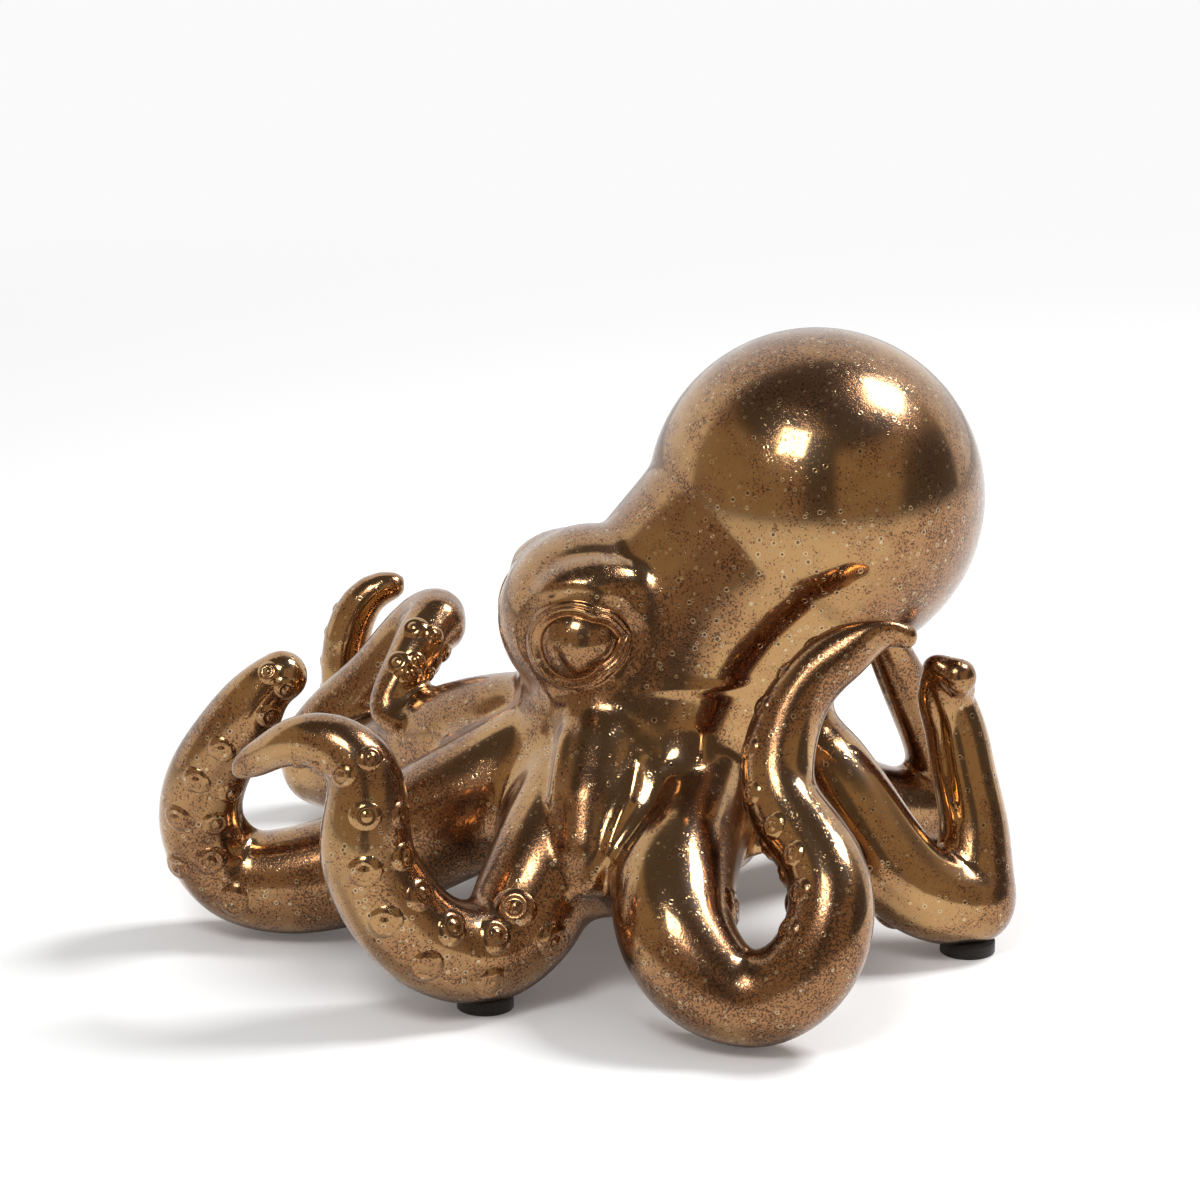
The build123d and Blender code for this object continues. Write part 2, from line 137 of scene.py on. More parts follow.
def add(tree: Tree, kind: str, settings: dict | None = None,
        inputs: dict | tuple = ()) -> bpy.types.Node:
    """Add one shader node with its settings and its inputs.

    Args:
        tree: Node tree that receives the node.
        kind: Blender's name of the node type.
        settings: Attributes of the node and their values.
        inputs: What goes into its sockets, by name or number or in their order: a value, an
            output socket, or a node whose first output is linked.

    Returns:
        The new node.
    """
    node = tree.nodes.new(kind)
    for name, value in (settings or {}).items():
        setattr(node, name, value)
    for name, value in inputs.items() if isinstance(inputs, dict) else enumerate(inputs):
        if isinstance(value, bpy.types.Node):
            value = value.outputs[0]
        if isinstance(value, Socket):
            tree.links.new(value, node.inputs[name])
        else:
            node.inputs[name].default_value = value
    return node


def new_material(name: str) -> tuple[Material, Tree]:
    """Make a material with an empty node tree.

    Args:
        name: Name of the finish.

    Returns:
        The material and its node tree.
    """
    material = bpy.data.materials.new(name)
    material.use_nodes = True
    material.node_tree.nodes.clear()
    return material, material.node_tree


@dataclass(frozen=True)
class LustreGlaze:
    """Metallic lustre glaze on stoneware: mirror-like bronze gold with brown specks and pale rings."""

    gold: str = "B18957"
    shade: str = "8A6541"
    copper: str = "A46E42"
    rust: str = "4A2F16"
    haze: str = "DCCBA6"
    # orange-brown painted into the creases as their shade and inter-reflection glow
    painted_crease_glow: str = "9C6430"
    shade_strength: float = 0.85
    copper_strength: float = 0.55
    middle_strength: float = 0.8
    haze_strength: float = 0.6
    painted_crease_glow_strength: float = 0.4
    crease_start: float = 0.35
    drift_range: tuple[float, float] = (0.38, 0.62)
    worn_range: tuple[float, float] = (0.42, 0.58)
    speck_range: tuple[float, float] = (0.50, 0.60)
    speck_shift: tuple[float, float] = (-0.13, 0.06)
    speck_strength: float = 0.9
    speck_mm: float = 0.5
    cloud_mm: float = 6.0
    drift_mm: float = 30.0
    ring_mm: float = 2.4
    bubble_mm: float = 1.5
    ring_bare_share: float = 0.45
    bubble_bare_share: float = 0.6
    bubble_strength: float = 0.7
    ring_radii: tuple[float, float] = (0.13, 0.24)
    ring_fade: float = 0.05
    rim_width: float = 0.07
    middle_depths: tuple[float, float] = (-0.02, -0.14)
    roughness: float = 0.09
    worn_roughness: float = 0.18
    speck_roughness: float = 0.07
    speck_depth: float = 0.5
    relief_mm: float = 0.06
    relief_strength: float = 0.3
    coat: float = 0.6
    coat_roughness: float = 0.28

    def rings(self, tree: Tree, place: Socket, spacing_mm: float,
              share: float) -> tuple[Socket, Socket]:
        """Rings that bubbles left where they burst in the firing.

        Args:
            tree: Node tree of the glaze.
            place: Object coordinates.
            spacing_mm: Mean distance between two rings.
            share: Share of the cells without a ring.

        Returns:
            Strength of the pale rims and of the dark middles.
        """
        cell = add(tree, "ShaderNodeTexVoronoi", {"feature": "F1"}, {
            "Vector": place, "Scale": 1 / (spacing_mm * MM), "Randomness": 1.0})
        pick = add(tree, "ShaderNodeSeparateColor", inputs={"Color": cell.outputs["Color"]})
        radius = add(tree, RANGE, SMOOTH, (pick.outputs["Green"], 0.0, 1.0, *self.ring_radii))
        there = add(tree, RANGE, SMOOTH, (pick.outputs["Red"], share, share + self.ring_fade))
        away = add(tree, MATH, MINUS, (cell.outputs["Distance"], radius))
        off = add(tree, MATH, UNSIGNED, (away,))
        rim = add(tree, RANGE, SMOOTH, (off, self.rim_width, 0.0))
        middle = add(tree, RANGE, SMOOTH, (away, *self.middle_depths))
        rim = add(tree, MATH, TIMES, (rim, there))
        middle = add(tree, MATH, TIMES, (middle, there))
        return rim.outputs["Value"], middle.outputs["Value"]

    def make(self) -> Material:
        """Build the glaze.

        Returns:
            The material, which reads object coordinates and the crease attribute that places the
            painted crease shade and glow.
        """
        material, tree = new_material("lustre_glazed_stoneware")
        place = add(tree, "ShaderNodeTexCoord").outputs["Object"]
        crease = add(tree, "ShaderNodeAttribute", {"attribute_name": "crease"}).outputs["Fac"]

        # Broad drifts of thick and thin glaze, then clouds inside them
        drift = add(tree, NOISE, inputs={
            "Vector": place, "Scale": 1 / (self.drift_mm * MM), "Detail": 3.0, "Roughness": 0.5})
        cloud = add(tree, NOISE, inputs={
            "Vector": place, "Scale": 1 / (self.cloud_mm * MM), "Detail": 6.0, "Roughness": 0.7,
            "Distortion": 0.4})
        half_drift = add(tree, MATH, TIMES, (drift, 0.5))
        half_cloud = add(tree, MATH, TIMES, (cloud, 0.5))
        mixed = add(tree, MATH, PLUS, (half_drift, half_cloud))
        worn = add(tree, RANGE, SMOOTH, (mixed, *self.worn_range))

        # Fine grain of burnt pigment, dense where the glaze is thin
        grain = add(tree, NOISE, inputs={
            "Vector": place, "Scale": 1 / (self.speck_mm * MM), "Detail": 2.0, "Roughness": 0.6})
        shift = add(tree, RANGE, SMOOTH, (mixed, *self.drift_range, *self.speck_shift))
        dots = add(tree, MATH, PLUS, (grain, shift))
        dots = add(tree, RANGE, SMOOTH, (dots, *self.speck_range, 0.0, self.speck_strength))

        # Burst bubbles of two sizes
        wide_rim, wide_middle = self.rings(tree, place, self.ring_mm, self.ring_bare_share)
        fine_rim, fine_middle = self.rings(tree, place, self.bubble_mm, self.bubble_bare_share)
        fine_rim = add(tree, MATH, TIMES, (fine_rim, self.bubble_strength))
        rim = add(tree, MATH, GREATER, (wide_rim, fine_rim))
        middle = add(tree, MATH, GREATER, (wide_middle, fine_middle))

        # Colours, from the ground up to the painted shade and inter-reflection glow in the creases
        burnt = add(tree, MATH, TIMES, (middle, self.middle_strength))
        layers = (
            (add(tree, RANGE, SMOOTH, (drift, *self.drift_range, 0.0, self.shade_strength)),
             self.shade),
            (add(tree, MATH, TIMES, (worn, self.copper_strength)), self.copper),
            (add(tree, MATH, GREATER, (dots, burnt)), self.rust),
            (add(tree, MATH, TIMES, (rim, self.haze_strength)), self.haze),
            # painted shade and inter-reflection glow: orange-brown laid into the hollow creases
            (add(tree, RANGE, SMOOTH, (crease, self.crease_start, 1.0, 0.0, self.painted_crease_glow_strength)),
             self.painted_crease_glow))
        base = linear(self.gold)
        for share, colour in layers:
            base = add(tree, MIX, COLOURS, {
                MIX_SHARE: share, MIX_FIRST: base, MIX_SECOND: linear(colour)}).outputs[MIX_RESULT]

        polish = add(tree, RANGE, SMOOTH, (worn, 0.0, 1.0, self.roughness, self.worn_roughness))
        grit = add(tree, MATH, TIMES, (dots, self.speck_roughness))
        rough = add(tree, MATH, PLUS, (polish, grit))
        sunk = add(tree, MATH, TIMES, (dots, self.speck_depth))
        pits = add(tree, MATH, PLUS, (sunk, middle))
        relief = add(tree, MATH, MINUS, (rim, pits))
        bump = add(tree, "ShaderNodeBump", inputs={
            "Strength": self.relief_strength, "Distance": self.relief_mm * MM, "Height": relief})
        shader = add(tree, "ShaderNodeBsdfPrincipled", inputs={
            "Base Color": base, "Metallic": 1.0, "Roughness": rough, "Coat Weight": self.coat,
            "Coat Roughness": self.coat_roughness, "Normal": bump.outputs["Normal"]})
        add(tree, "ShaderNodeOutputMaterial", inputs={"Surface": shader.outputs["BSDF"]})
        return material


@dataclass(frozen=True)
class PressedFelt:
    """Dense pressed wool felt: near black, matt, with short tangled fibres."""

    dark: str = "17130F"
    light: str = "322B26"
    fibre_mm: float = 0.5
    relief_mm: float = 0.2
    relief_strength: float = 0.8
    roughness: float = 0.95
    sheen: float = 0.3
    fibre_stops: tuple[float, float] = (0.3, 0.75)

    def make(self) -> Material:
        """Build the felt.

        Returns:
            The material, which reads object coordinates.
        """
        material, tree = new_material("pressed_wool_felt")
        place = add(tree, "ShaderNodeTexCoord").outputs["Object"]
        fibre = add(tree, NOISE, inputs={
            "Vector": place, "Scale": 1 / (self.fibre_mm * MM), "Detail": 4.0, "Distortion": 2.0})
        colour = add(tree, "ShaderNodeValToRGB", inputs=(fibre,))
        codes = (self.dark, self.light)
        for element, stop, code in zip(colour.color_ramp.elements, self.fibre_stops, codes):
            element.position = stop
            element.color = linear(code)
        bump = add(tree, "ShaderNodeBump", inputs={
            "Strength": self.relief_strength, "Distance": self.relief_mm * MM, "Height": fibre})
        shader = add(tree, "ShaderNodeBsdfPrincipled", inputs={
            "Base Color": colour, "Roughness": self.roughness, "Sheen Weight": self.sheen,
            "Normal": bump.outputs["Normal"]})
        add(tree, "ShaderNodeOutputMaterial", inputs={"Surface": shader.outputs["BSDF"]})
        return material


def ease(share: np.ndarray) -> np.ndarray:
    """Smooth shares from zero to one, so that they start and end level."""
    return share * share * (3 - 2 * share)


def at(x_mm: float, y_mm: float, z_mm: float) -> Vector:
    """Point measured in millimetres from the floor under the middle of the octopus's trunk.

    Args:
        x_mm: Distance towards its left side.
        y_mm: Distance behind it.
        z_mm: Height over the floor.

    Returns:
        The point in the shared frame, in metres.
    """
    left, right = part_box("eyeball_left"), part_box("eyeball_right")
    middle = (left[0] + left[1] + right[0] + right[1]) / 4
    eyes_forward_mm = 17.7
    return Vector((middle.x + x_mm * MM, middle.y + (y_mm + eyes_forward_mm) * MM, z_mm * MM))


def node_mesh(name: str) -> Form:
    """Copy a CAD node's mesh, join its loose triangles and close what the joining leaves open.

    Args:
        name: Name of the node.

    Returns:
        A new bmesh that the caller frees.
    """
    form = bmesh.new()
    form.from_mesh(frame["nodes"][name].data)
    bmesh.ops.remove_doubles(form, verts=form.verts, dist=WELD_MM * MM)
    cracks = [edge for edge in form.edges if edge.is_boundary]
    if cracks:
        bmesh.ops.remove_doubles(form, verts=list({vert for edge in cracks for vert in edge.verts}),
                                 dist=CRACK_MM * MM)
        bmesh.ops.holes_fill(form, edges=[edge for edge in form.edges if edge.is_boundary], sides=0)
        bmesh.ops.recalc_face_normals(form, faces=form.faces)
    return form


def to_mesh(form: Form, name: str) -> Mesh:
    """Turn a form into a mesh and free the form.

    Args:
        form: Form to turn.
        name: Name of the mesh.

    Returns:
        The new mesh.
    """
    mesh = bpy.data.meshes.new(name)
    form.to_mesh(mesh)
    form.free()
    return mesh


def join(target: Form, form: Form) -> None:
    """Add a form to a target bmesh and free the form.

    Args:
        target: Bmesh that grows.
        form: Form to add.
    """
    mesh = to_mesh(form, "part")
    target.from_mesh(mesh)
    bpy.data.meshes.remove(mesh)


def islands(form: Form) -> list[list[bmesh.types.BMVert]]:
    """Points of each separate part of a form, in the order of a walk along its edges.

    Args:
        form: Form to search.

    Returns:
        One list of points for each part.
    """
    form.verts.ensure_lookup_table()
    seen: set[int] = set()
    found = []
    for start in form.verts:
        if start.index in seen:
            continue
        seen.add(start.index)
        island, front = [], [start]
        while front:
            vert = front.pop()
            island.append(vert)
            for edge in vert.link_edges:
                other = edge.other_vert(vert)
                if other.index not in seen:
                    seen.add(other.index)
                    front.append(other)
        found.append(island)
    return found


def cone(corners: int, foot: float, top: float, depth: float, middle: Vector) -> Form:
    """Upright cone or cylinder.

    Args:
        corners: Corners of its cross-section.
        foot: Radius at the foot in metres.
        top: Radius at the top in metres.
        depth: Height in metres.
        middle: Place of its middle.

    Returns:
        A new bmesh that the caller frees.
    """
    form = bmesh.new()
    bmesh.ops.create_cone(form, cap_ends=True, segments=corners, radius1=foot, radius2=top,
                          depth=depth)
    bmesh.ops.translate(form, vec=middle, verts=form.verts)
    return form


def roll(points: list[Vector], radii: list[float], steps: int = 32) -> Form:
    """Roll of clay along a line of points, closed at both ends.

    Args:
        points: Points of the middle line.
        radii: Radius at each point.
        steps: Corners of its cross-section.

    Returns:
        A new bmesh that the caller frees.
    """
    form = bmesh.new()
    rings = []
    last = len(points) - 1
    for number, (point, radius) in enumerate(zip(points, radii)):
        course = points[min(number + 1, last)] - points[max(number - 1, 0)]
        turn = course.to_track_quat("Z", "Y").to_matrix().to_4x4()
        made = bmesh.ops.create_circle(form, cap_ends=False, radius=radius, segments=steps)
        bmesh.ops.transform(form, matrix=Matrix.Translation(point) @ turn, verts=made["verts"])
        corners = set(made["verts"])
        rings.append([edge for edge in form.edges if all(vert in corners for vert in edge.verts)])
    for first, second in zip(rings, rings[1:]):
        bmesh.ops.bridge_loops(form, edges=first + second)
    bmesh.ops.holes_fill(form, edges=rings[0] + rings[-1], sides=0)
    bmesh.ops.recalc_face_normals(form, faces=form.faces)
    return form


def set_out(name: str, data: bpy.types.ID) -> bpy.types.Object:
    """Put a new object in the scene.

    Args:
        name: Name of the object.
        data: Its mesh, light or camera.

    Returns:
        The new object.
    """
    thing = bpy.data.objects.new(name, data)
    bpy.context.scene.collection.objects.link(thing)
    return thing


def finish_piece(mesh: Mesh, name: str, material: Material, slot: Slot,
                 *nodes: str) -> bpy.types.Object:
    """Put a finished mesh in the scene in place of CAD nodes.

    Args:
        mesh: Mesh with its place in its points.
        name: Name of the piece.
        material: Its material.
        slot: Material slot of the record; not used.
        nodes: CAD nodes that the piece stands for.

    Returns:
        The new object, riding on the root body.
    """
    piece = set_out(name, mesh)
    mesh.materials.clear()
    mesh.materials.append(material)
    mesh.shade_smooth()
    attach(piece, "root")
    if nodes:
        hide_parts(*nodes)
    log.info("piece %s: %d faces for %s", name, len(mesh.polygons), ", ".join(nodes) or "no node")
    return piece


@dataclass(frozen=True)
class EyeOpening:
    """Opening of an eye, pointed at its rear corner, and the lines that its lids press around it."""

    side: str
    middle_mm: tuple[float, float, float] = (13.0, -16.6, 76.0)
    ball_mm: float = 12.0
    ball_inset_mm: float = 0.5
    ball_swell_mm: float = 0.75
    ball_swell_reach_mm: float = 3.0
    mound_mm: float = 13.1
    mound_inset_mm: float = 0.3
    mound_edge_mm: float = 2.6
    mound_fade_mm: float = 4.0
    round_mm: float = 8.2
    round_middle_mm: float = -1.9
    corner_mm: float = 10.4
    bulge_mm: float = 1.1
    bulge_power: float = 1.5
    edge_fade_mm: float = 0.7
    lid_width_mm: float = 4.6
    refined_mm: float = 17.5
    reach_mm: float = 17.0
    reach_fade_mm: float = 2.0
    near_mm: float = 19.0
    base_mm: float = 1.0
    base_fade_mm: float = 3.0
    tilt: float = 12.0
    turn: float = -22.0
    lift: float = 3.0
    ridges_mm: tuple[tuple[float, float, float], ...] = (
        (0.70, 0.7, 0.5), (-0.20, 1.5, 0.4), (0.32, 2.3, 0.5), (-0.14, 3.4, 0.7))

    def frame(self) -> Matrix:
        """Eye's own frame: X to its rear corner, Y up, Z outwards and the eyeball's middle at zero.

        Returns:
            The matrix that leads from the eye's frame to the shared one.
        """
        mirror = 1 if self.side == "left" else -1
        turn, lift = math.radians(self.turn), math.radians(self.lift)
        look = Vector((mirror * math.cos(turn) * math.cos(lift), math.sin(turn) * math.cos(lift),
                       math.sin(lift)))
        level = Vector((0, 0, 1)).cross(look).normalized() * mirror
        upright = (look.cross(level) * mirror).normalized()
        tilt = math.radians(self.tilt)
        along = level * math.cos(tilt) + upright * math.sin(tilt)
        across = upright * math.cos(tilt) - level * math.sin(tilt)
        turned = Matrix((along, across, look)).transposed().to_4x4()
        x_mm, y_mm, z_mm = self.middle_mm
        return Matrix.Translation(at(mirror * x_mm, y_mm, z_mm)) @ turned

    def depths(self, local: np.ndarray) -> np.ndarray:
        """Distance of points from the opening's edge, below zero inside it.

        Args:
            local: Points in the eye's own frame, in millimetres.

        Returns:
            One distance in millimetres for each point.
        """
        along, across = local[:, 0] - self.round_middle_mm, np.abs(local[:, 1])
        length = self.corner_mm - self.round_middle_mm
        slope = self.round_mm / length
        level = math.sqrt(1 - slope ** 2)
        place = along * level - across * slope
        sides = across * level + along * slope - self.round_mm
        share = np.clip(place / (level * length), 0, 1)
        sides -= self.bulge_mm * np.sin(math.pi * share) ** self.bulge_power
        return np.where(place < 0, np.hypot(along, across) - self.round_mm,
                        np.where(place > level * length, np.hypot(along - length, across), sides))

    def fade(self, away: np.ndarray) -> np.ndarray:
        """Strength of the pressing at distances from the eyeball's middle, in millimetres."""
        return np.clip((self.reach_mm - away) / self.reach_fade_mm, 0, 1)

    def press(self, points: np.ndarray) -> np.ndarray:
        """Press eyeball and lids into the skin.

        Args:
            points: Points of the skin in metres.

        Returns:
            The moved points.
        """
        frame_of_eye = np.array(self.frame())
        turn, middle = frame_of_eye[:3, :3], frame_of_eye[:3, 3]
        local = (points - middle) @ turn / MM
        away = np.linalg.norm(local, axis=1)
        near = (away < self.near_mm) & (local[:, 2] > self.base_mm)
        part, reach = local[near], away[near]
        edge = self.depths(part)
        fade = self.fade(reach) * np.clip((part[:, 2] - self.base_mm) / self.base_fade_mm, 0, 1)
        ridges = sum(height * np.exp(-((edge - place) / width) ** 2)
                     for height, place, width in self.ridges_mm)
        inner = ease(np.clip(0.5 - edge / self.edge_fade_mm, 0, 1))
        swell = 1 - np.exp(np.minimum(edge, 0) / self.ball_swell_reach_mm)
        dome = self.ball_mm - self.ball_inset_mm + self.ball_swell_mm * swell
        apart = ease(np.clip((edge - self.mound_edge_mm) / self.mound_fade_mm, 0, 1))
        mound = self.mound_mm - self.mound_inset_mm
        seat = mound + (reach - mound) * apart
        target = (seat + ridges) * (1 - inner) + dome * inner
        moved = reach + (target - reach) * fade
        local[near] = part / reach[:, None] * moved[:, None]
        return local * MM @ turn.T + middle


@dataclass(frozen=True)
class Fold:
    """Ridge or valley that a thumb left in the clay, along a line of points near the skin."""

    points_mm: tuple[tuple[float, float, float], ...]
    height_mm: float
    width_mm: float
    end_share: float = 0.04
    fade_power: float = 0.6

    def press(self, points: np.ndarray, normals: np.ndarray) -> np.ndarray:
        """Raise or sink the skin along the fold, fading out at its ends.

        Args:
            points: Points of the skin in metres.
            normals: Normals of the skin.

        Returns:
            The moved points.
        """
        line = [points[np.linalg.norm(points - np.array(at(*point)), axis=1).argmin()]
                for point in self.points_mm]
        gap = np.full(len(points), np.inf)
        along = np.zeros(len(points))
        for number, (start, end) in enumerate(zip(line, line[1:])):
            course = end - start
            share = np.clip((points - start) @ course / (course @ course), 0, 1)
            away = np.linalg.norm(points - start - share[:, None] * course, axis=1)
            nearer = away < gap
            gap[nearer] = away[nearer]
            along[nearer] = (number + share[nearer]) / (len(line) - 1)
        inside = np.clip(along, self.end_share, 1 - self.end_share)
        fade = np.sin(math.pi * inside) ** self.fade_power
        swell = self.height_mm * MM * fade * np.exp(-(gap / (self.width_mm * MM)) ** 2)
        return points + normals * swell[:, None]


@dataclass
class ClaySkin:
    """The figure's one continuous surface: body, arms, eyes and lids under a single coat of glaze."""

    voxel_mm: float = 0.8
    crease_depth_mm: float = 0.09
    trunk_radius_mm: float = 44.0
    trunk_foot_mm: float = 16.0
    root_reach_mm: float = 13.0
    root_rounds: int = 240
    root_keep: float = 0.4
    mantle_mm: tuple[float, float, float] = (0.0, 41.4, 101.6)
    neck_reach_mm: float = 45.0
    joint_reach_mm: float = 4.5
    joint_rounds: int = 40
    joint_keep: float = 0.6
    polish_rounds: int = 5
    eye_rounds: int = 30
    fresh_rounds: int = 8
    step_share: float = 0.5
    form_corners: int = 64
    plug_corners: int = 16
    plug_radius_mm: float = 3.0
    plug_depth_mm: float = 6.0
    plug_height_mm: float = 3.2
    node_margin_mm: float = 4.0
    eye_piece_mm: float = 15.5
    eye_piece_base_mm: float = 2.0
    # bend limits for the painted crease shade and glow
    painted_shade_bend: float = 0.06
    painted_shade_span: float = 0.30
    painted_shade_rounds: int = 3
    least_edge_mm: float = 0.1
    nodes: list[str] = field(default_factory=lambda: ["mantle_and_head"] + [
        "arm_" + arm.value for arm in Arm])
    eyes: tuple[EyeOpening, ...] = (EyeOpening("left"), EyeOpening("right"))
    skirt_mm: tuple[float, float, float, float] = (28.0, 41.0, 64.0, 24.0)
    webs_mm: tuple[tuple[tuple[float, float, float, float], ...], ...] = (
        ((12, -10, 61, 10), (23, -15, 51, 11), (33, -20, 41, 10.5), (39, -23, 33, 8.5),
         (42, -24, 25, 6)),
        ((19, 4, 58, 9), (24, 3, 51, 10), (31, 1, 44, 9.5), (39, -1, 37, 8)),
        ((-100.2, -49.2, 38, 6.0), (-100.4, -48.2, 46, 5.8), (-100.3, -46.5, 51, 5.5),
         (-100.1, -44.4, 54.5, 5.1), (-99.8, -41.8, 57, 4.6), (-99.4, -38.6, 58.4, 4.1),
         (-98.9, -35.8, 58.8, 3.3), (-98.7, -34.0, 58.8, 2.0)))
    tip_cut_mm: tuple[float, float] = (-85.0, 42.0)
    folds: tuple[Fold, ...] = (
        Fold(((20, -21, 59), (27, -22, 51), (35, -28, 43)), 1.0, 2.2),
        Fold(((33, -9, 54), (41, -14, 45), (47, -20, 36), (47, -25, 27)), 1.4, 1.7),
        Fold(((36, -4, 54), (44, -9, 45), (50, -15, 36)), -1.6, 2.6),
        Fold(((26, -7, 67), (28, 0, 67), (30, 6, 67), (30, 14, 67), (29, 21, 66)), 0.5, 1.3),
        Fold(((30, 67, 32), (26, 66, 40), (24, 65, 47), (23, 64, 54), (23, 62, 60)), -1.0, 1.3))
    surface: Mesh | None = None

    def gather(self) -> Form:
        """Bring body, arms and eyes together with the skirt, the webs and a plug for the vent.

        Returns:
            A bmesh of closed forms that run into each other.
        """
        clay = bmesh.new()
        for name in self.nodes:
            form = node_mesh(name)
            if name == "arm_" + Arm.RIGHT_2.value:
                self.cut_tip(form)
            join(clay, form)
        for eye in self.eyes:
            mound = bmesh.new()
            bmesh.ops.create_uvsphere(mound, u_segments=self.form_corners,
                                      v_segments=self.form_corners // 2, radius=eye.mound_mm * MM)
            bmesh.ops.transform(mound, matrix=eye.frame(), verts=mound.verts)
            join(clay, mound)
        foot, wide, top, narrow = self.skirt_mm
        join(clay, cone(self.form_corners, wide * MM, narrow * MM, (top - foot) * MM,
                        at(0, 0, (foot + top) / 2)))
        for web in self.webs_mm:
            join(clay, roll([at(*place[:3]) for place in web], [place[3] * MM for place in web]))
        low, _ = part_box("mantle_and_head")
        radius = self.plug_radius_mm * MM
        seat = at(0, 0, 0) + Vector((0, 0, low.z + self.plug_height_mm * MM))
        join(clay, cone(self.plug_corners, radius, radius, self.plug_depth_mm * MM, seat))
        return clay

    def cut_tip(self, form: Form) -> None:
        """Cut off the finger that a roll of clay takes the place of, and close the cut.

        Args:
            form: The arm.
        """
        out, height = self.tip_cut_mm
        edge = at(out, 0, height)
        above = [vert for vert in form.verts if vert.co.z > edge.z and vert.co.x < edge.x]
        bmesh.ops.delete(form, geom=above, context="VERTS")
        bmesh.ops.holes_fill(form, edges=[e for e in form.edges if e.is_boundary], sides=0)
        bmesh.ops.recalc_face_normals(form, faces=form.faces)

    def weld(self, clay: Form) -> bpy.types.Object:
        """Turn the gathered clay into one skin of even small faces.

        Args:
            clay: The gathered forms, which are freed.

        Returns:
            An object that holds the welded skin, without the hollow inside.
        """
        lump = set_out("clay", to_mesh(clay, "clay"))
        remesh = lump.modifiers.new("weld", "REMESH")
        remesh.mode = "VOXEL"
        remesh.voxel_size = self.voxel_mm * MM
        settle = lump.modifiers.new("settle", "SMOOTH")
        settle.factor = 0.5
        settle.iterations = 2
        bpy.context.view_layer.update()
        graph = bpy.context.evaluated_depsgraph_get()
        welded = bpy.data.meshes.new_from_object(lump.evaluated_get(graph))
        lump.modifiers.clear()
        form = bmesh.new()
        form.from_mesh(welded)
        self.keep_largest(form)
        form.to_mesh(welded)
        form.free()
        lump.data = welded
        return lump

    @staticmethod
    def keep_largest(form: Form) -> None:
        """Delete every island of faces but the one with the most points."""
        for island in sorted(islands(form), key=len)[:-1]:
            bmesh.ops.delete(form, geom=island, context="VERTS")

    @staticmethod
    def read(mesh: Mesh) -> tuple[np.ndarray, np.ndarray, np.ndarray]:
        """Points, normals and edges of a mesh as arrays.

        Args:
            mesh: Mesh to read.

        Returns:
            One row for each point, normal and edge.
        """
        points, normals = np.zeros(len(mesh.vertices) * 3), np.zeros(len(mesh.vertices) * 3)
        mesh.vertices.foreach_get("co", points)
        mesh.vertices.foreach_get("normal", normals)
        ends = np.zeros(len(mesh.edges) * 2, int)
        mesh.edges.foreach_get("vertices", ends)
        return points.reshape(-1, 3), normals.reshape(-1, 3), ends.reshape(-1, 2)

    @staticmethod
    def pull(points: np.ndarray, ends: np.ndarray) -> np.ndarray:
        """Step from each point to the mean of its neighbours.

        Args:
            points: One row for each point.
            ends: The two points of each edge.

        Returns:
            One step for each point.
        """
        count = len(points)
        total = np.zeros((count, 3))
        for axis in range(3):
            total[:, axis] = (np.bincount(ends[:, 0], points[ends[:, 1], axis], count)
                              + np.bincount(ends[:, 1], points[ends[:, 0], axis], count))
        degree = np.bincount(ends.ravel(), minlength=count)
        return total / np.maximum(degree, 1)[:, None] - points

    def relax(self, mesh: Mesh, weight: np.ndarray, rounds: int, keep: float) -> None:
        """Smooth a mesh where the weight says, filling hollows more than wearing ridges.

        Args:
            mesh: Mesh to smooth.
            weight: Strength at each point, from zero to one.
            rounds: Number of rounds.
            keep: Share of the wear on ridges that is held back.
        """
        active = weight > 0
        for number in range(rounds):
            if number % self.fresh_rounds == 0:
                points, normals, ends = self.read(mesh)
                chosen = active[ends[:, 0]] | active[ends[:, 1]]
                ends = ends[chosen]
            step = self.pull(points, ends)
            rise = (step * normals).sum(1)
            step -= normals * (np.minimum(rise, 0) * keep)[:, None]
            points += step * (self.step_share * weight)[:, None]
            if (number + 1) % self.fresh_rounds == 0 or number == rounds - 1:
                mesh.vertices.foreach_set("co", points.ravel())
                mesh.update()

    def weights(self, mesh: Mesh, joints: np.ndarray, reach_mm: float) -> np.ndarray:
        """Strength that falls off smoothly with the distance from joint points.

        Args:
            mesh: Mesh to weigh.
            joints: Numbers of the joint points.
            reach_mm: Distance at which the strength is zero.

        Returns:
            One strength from zero to one for each point.
        """
        tree = KDTree(len(joints))
        for index in joints:
            tree.insert(mesh.vertices[index].co, int(index))
        tree.balance()
        reach = reach_mm * MM
        value = np.zeros(len(mesh.vertices))
        for vert in mesh.vertices:
            found = tree.find(vert.co)
            if found[2] is not None and found[2] < reach:
                value[vert.index] = 1 - found[2] / reach
        return ease(value)

    def soften(self, mesh: Mesh) -> None:
        """Smooth the joints as a wet finger does, widely at the arm roots and neck, narrowly elsewhere.

        Args:
            mesh: The welded skin.
        """
        points, normals, ends = self.read(mesh)
        hollow = (self.pull(points, ends) * normals).sum(1)
        deep = hollow > self.crease_depth_mm * MM
        trunk = at(0, 0, 0)
        out = np.hypot(points[:, 0] - trunk.x, points[:, 1] - trunk.y)
        root = (out < self.trunk_radius_mm * MM) & (points[:, 2] > self.trunk_foot_mm * MM)
        from_mantle = np.linalg.norm(points - np.array(at(*self.mantle_mm)), axis=1)
        root |= from_mantle < self.neck_reach_mm * MM
        wide = self.weights(mesh, np.nonzero(deep & root)[0], self.root_reach_mm)
        self.relax(mesh, wide, self.root_rounds, self.root_keep)
        narrow = self.weights(mesh, np.nonzero(deep)[0], self.joint_reach_mm)
        self.relax(mesh, narrow, self.joint_rounds, self.joint_keep)
        self.relax(mesh, np.ones(len(points)), self.polish_rounds, 0.0)
        log.info("skin: %d joint points of %d", int(deep.sum()), len(points))

